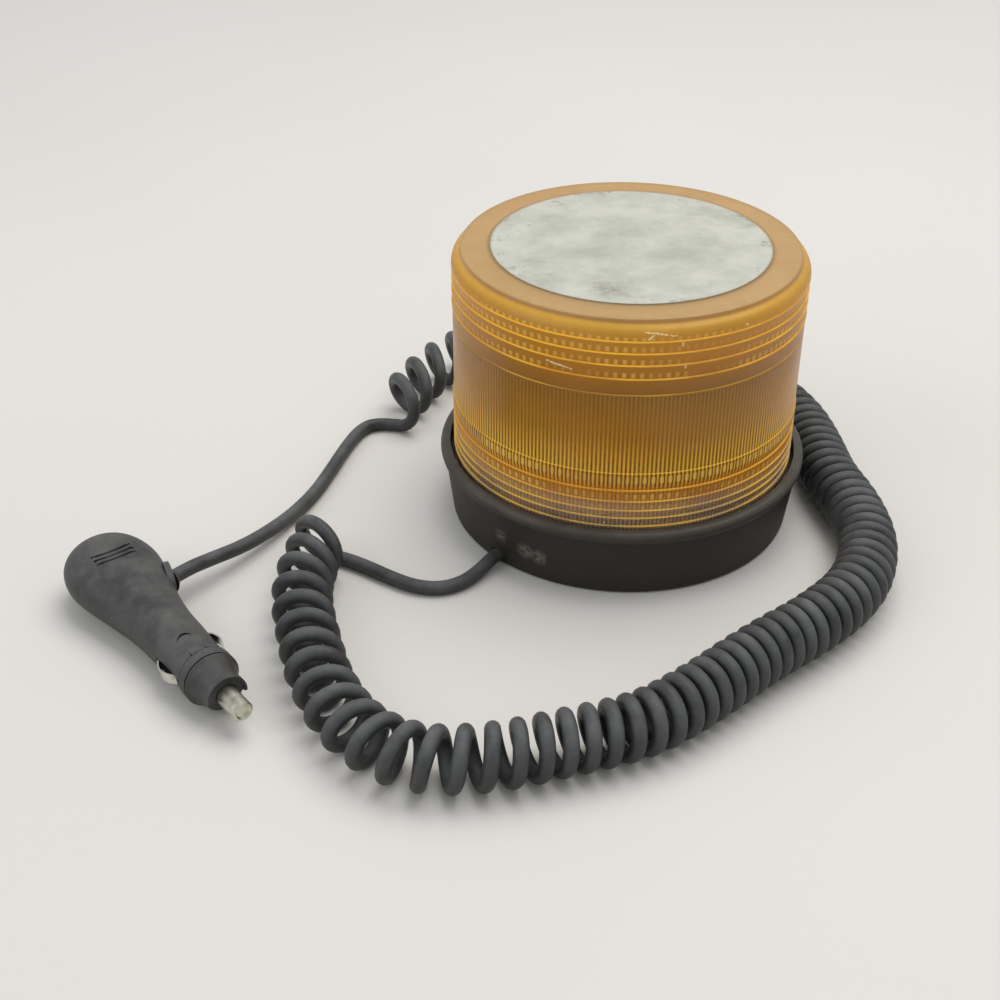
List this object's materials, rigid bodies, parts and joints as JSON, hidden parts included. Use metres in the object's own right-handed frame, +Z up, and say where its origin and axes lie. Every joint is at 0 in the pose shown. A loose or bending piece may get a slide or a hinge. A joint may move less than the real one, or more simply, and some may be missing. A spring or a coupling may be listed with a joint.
{
  "type": "magnetic strobe beacon",
  "caption": "Amber strobe beacon with a prismatic lens on a black magnetic base, with a curly cord and a vehicle power plug.",
  "frame": {"origin": "centre of the pad's underside, on the surface that the beacon stands on", "axes": "+Z up along the lens's axis, the cord leaves the base towards -X and -Y"},
  "size_m": [0.3234, 0.3316, 0.116],
  "materials": {
    "housing_rubber": "matte, scuffed",
    "pad_rubber": "matte",
    "cup_steel": "zinc plated",
    "ferrite": "dull grey ceramic",
    "screw_steel": "zinc plated",
    "board_laminate": "green solder mask",
    "spacer_nylon": "natural nylon",
    "winding_tape": "yellow tape",
    "capacitor_sleeve": "shrink sleeve",
    "coil_varnish": "varnished winding",
    "package_epoxy": "moulded epoxy",
    "sink_aluminium": "plain",
    "resistor_lacquer": "lacquer",
    "terminal_polyamide": "moulded",
    "wire_sleeve": "insulation",
    "deck_white": "white paint",
    "socket_phenolic": "moulded phenolic",
    "clear_glass": "clear",
    "arc_glass": "quartz",
    "amber_lens": "weathered and scratched",
    "label_film": "smudged",
    "seal_foam": "foam",
    "plug_plastic": "fine grain",
    "cord_rubber": "dusty",
    "contact_nickel": "worn",
    "spring_wire": "bright",
    "fuse_glass": "glass body and metal caps",
    "contact_brass": "plain"
  },
  "bodies": {
    "base": {"base_shell": "housing_rubber", "cord_grommet": "housing_rubber", "base_pad": "pad_rubber", "magnet_cup": "cup_steel", "magnet_ring": "ferrite", "magnet_bolt": "screw_steel", "magnet_nut": "screw_steel", "board_screws": "screw_steel", "deck_screws": "screw_steel", "socket_screws": "screw_steel", "plug_screw": "screw_steel", "circuit_board": "board_laminate", "board_standoffs": "spacer_nylon", "deck_posts": "spacer_nylon", "flash_transformer": "winding_tape", "storage_capacitor": "capacitor_sleeve", "trigger_coil": "coil_varnish", "power_transistor": "package_epoxy", "heat_sink": "sink_aluminium", "small_components": "resistor_lacquer", "terminal_block": "terminal_polyamide", "supply_wires": "wire_sleeve", "plug_wire": "wire_sleeve", "deck_plate": "deck_white", "tube_socket": "socket_phenolic", "plug_upper_shell": "plug_plastic", "plug_lower_shell": "plug_plastic", "lead_base": "cord_rubber", "coil_cord": "cord_rubber", "lead_plug": "cord_rubber", "cord_boot": "cord_rubber", "tip_spring": "spring_wire", "fuse": "fuse_glass", "fuse_contact": "contact_brass"},
    "seal": {"lens_seal": "seal_foam"},
    "lens": {"lens": "amber_lens", "label_disc": "label_film"},
    "flash_tube": {"tube_base": "socket_phenolic", "tube_glass": "clear_glass", "arc_tube": "arc_glass"},
    "tip": {"contact_pin": "contact_nickel"},
    "collar": {"nose_collar": "plug_plastic"},
    "left_clip": {"clip_left": "contact_nickel"},
    "right_clip": {"clip_right": "contact_nickel"}
  },
  "joints": [
    {"name": "lens_lift", "type": "slide", "parent": "base", "child": "seal", "axis": [0, 0, 1], "range_m": [0, 0.005]},
    {"name": "lens_turn", "type": "hinge", "parent": "seal", "child": "lens", "pos_m": [0, 0, 0.0259], "axis": [0, 0, 1], "range_deg": [0, 360]},
    {"name": "flash_tube_pull", "type": "slide", "parent": "base", "child": "flash_tube", "axis": [0, 0, 1], "range_m": [0, 0.01]},
    {"name": "tip_press", "type": "slide", "parent": "base", "child": "tip", "axis": [-0.6101, 0.7923, 0], "range_m": [0, 0.003], "stiffness_N_per_m": 400, "springref_m": -0.002, "deforming": ["tip_spring"]},
    {"name": "collar_pull", "type": "slide", "parent": "base", "child": "collar", "axis": [0.6101, -0.7923, 0], "range_m": [0, 0.009]},
    {"name": "left_clip_press", "type": "slide", "parent": "base", "child": "left_clip", "axis": [-0.7846, -0.6042, -0.1392], "range_m": [0, 0.0018], "stiffness_N_per_m": 600, "springref_m": -0.001},
    {"name": "right_clip_press", "type": "slide", "parent": "base", "child": "right_clip", "axis": [0.7846, 0.6042, 0.1392], "range_m": [0, 0.0018], "stiffness_N_per_m": 600, "springref_m": -0.001}
  ],
  "couplings": [
    {"joint": "lens_lift", "follows": "lens_turn", "m_per_rad": 0.000795}
  ]
}
